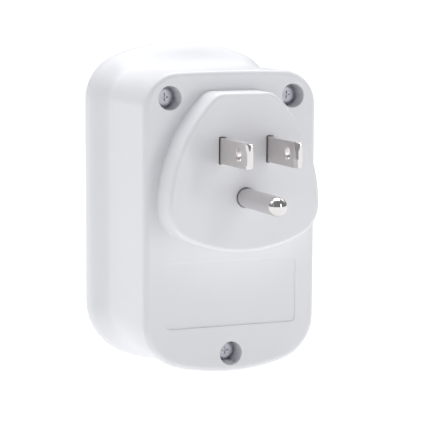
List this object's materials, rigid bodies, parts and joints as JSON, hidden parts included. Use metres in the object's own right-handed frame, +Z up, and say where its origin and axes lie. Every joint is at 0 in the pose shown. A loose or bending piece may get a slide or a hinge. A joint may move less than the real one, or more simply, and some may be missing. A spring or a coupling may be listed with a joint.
{
  "type": "plug in power meter",
  "caption": "Plug-in power meter: a moulded casing with a grounded wall plug on its back, and a display, keys and a grounded socket on its front.",
  "frame": {"origin": "on the flat wall face of the plug's boss, on the ground pin's axis", "axes": "+Y along the plug's blades, into the wall; +Z up; the display, keys and socket face -Y"},
  "size_m": [0.0518, 0.0771, 0.0868],
  "materials": {
    "casing_plastic": "satin moulded",
    "socket_plastic": "fine matt moulded",
    "window_plastic": "clear polished",
    "display_glass": "polished",
    "holder_plastic": "moulded",
    "light_panel": "frosted",
    "connector_rubber": "matt",
    "circuit_board": "solder mask",
    "chip_plastic": "moulded",
    "can_steel": "bright",
    "key_plastic": "fine matt moulded",
    "switch_plastic": "moulded",
    "carrier_plastic": "moulded",
    "contact_brass": "pressed",
    "plug_nickel": "nickel plated, satin",
    "insulator_plastic": "moulded",
    "strip_copper": "pressed",
    "shunt_alloy": "pressed",
    "film_yellow": "moulded box",
    "sleeve_blue": "shrink sleeve",
    "varistor_blue": "dipped",
    "fuse_red": "moulded",
    "resistor_grey": "lacquered",
    "screw_steel": "zinc plated"
  },
  "bodies": {
    "casing": {"front_shell": "casing_plastic", "back_cover": "casing_plastic", "display_window": "window_plastic", "lcd_holder": "holder_plastic", "lcd_glass": "display_glass", "backlight_panel": "light_panel", "rubber_connectors": "connector_rubber", "display_board": "circuit_board", "microcontroller": "chip_plastic", "clock_crystal": "can_steel", "cell_holder": "holder_plastic", "backup_cell": "can_steel", "left_switch": "switch_plastic", "middle_switch": "switch_plastic", "right_switch": "switch_plastic", "socket_insert": "socket_plastic", "contact_carrier": "carrier_plastic", "line_contact": "contact_brass", "neutral_contact": "contact_brass", "ground_contact": "contact_brass", "line_blade": "plug_nickel", "neutral_blade": "plug_nickel", "ground_pin": "plug_nickel", "blade_holder": "insulator_plastic", "blade_clamp": "insulator_plastic", "neutral_bus": "strip_copper", "shunt_strip": "shunt_alloy", "ground_strap": "strip_copper", "power_board": "circuit_board", "film_capacitor": "film_yellow", "electrolytic_capacitor": "sleeve_blue", "varistor": "varistor_blue", "fuse": "fuse_red", "bridge_rectifier": "chip_plastic", "dropper_resistor": "resistor_grey", "metering_chip": "chip_plastic", "metering_crystal": "can_steel", "chip_resistors": "chip_plastic", "board_link": "holder_plastic", "casing_screws": "screw_steel", "board_screws": "screw_steel", "display_screws": "screw_steel", "carrier_screws": "screw_steel", "clamp_screws": "screw_steel"},
    "left_key_body": {"left_key": "key_plastic", "left_plunger": "switch_plastic"},
    "middle_key_body": {"middle_key": "key_plastic", "middle_plunger": "switch_plastic"},
    "right_key_body": {"right_key": "key_plastic", "right_plunger": "switch_plastic"}
  },
  "joints": [
    {"name": "left_key_press", "type": "slide", "parent": "casing", "child": "left_key_body", "axis": [0, 1, 0], "range_m": [0, 0.0005], "stiffness_N_per_m": 3000},
    {"name": "middle_key_press", "type": "slide", "parent": "casing", "child": "middle_key_body", "axis": [0, 1, 0], "range_m": [0, 0.0005], "stiffness_N_per_m": 3000},
    {"name": "right_key_press", "type": "slide", "parent": "casing", "child": "right_key_body", "axis": [0, 1, 0], "range_m": [0, 0.0005], "stiffness_N_per_m": 3000}
  ]
}
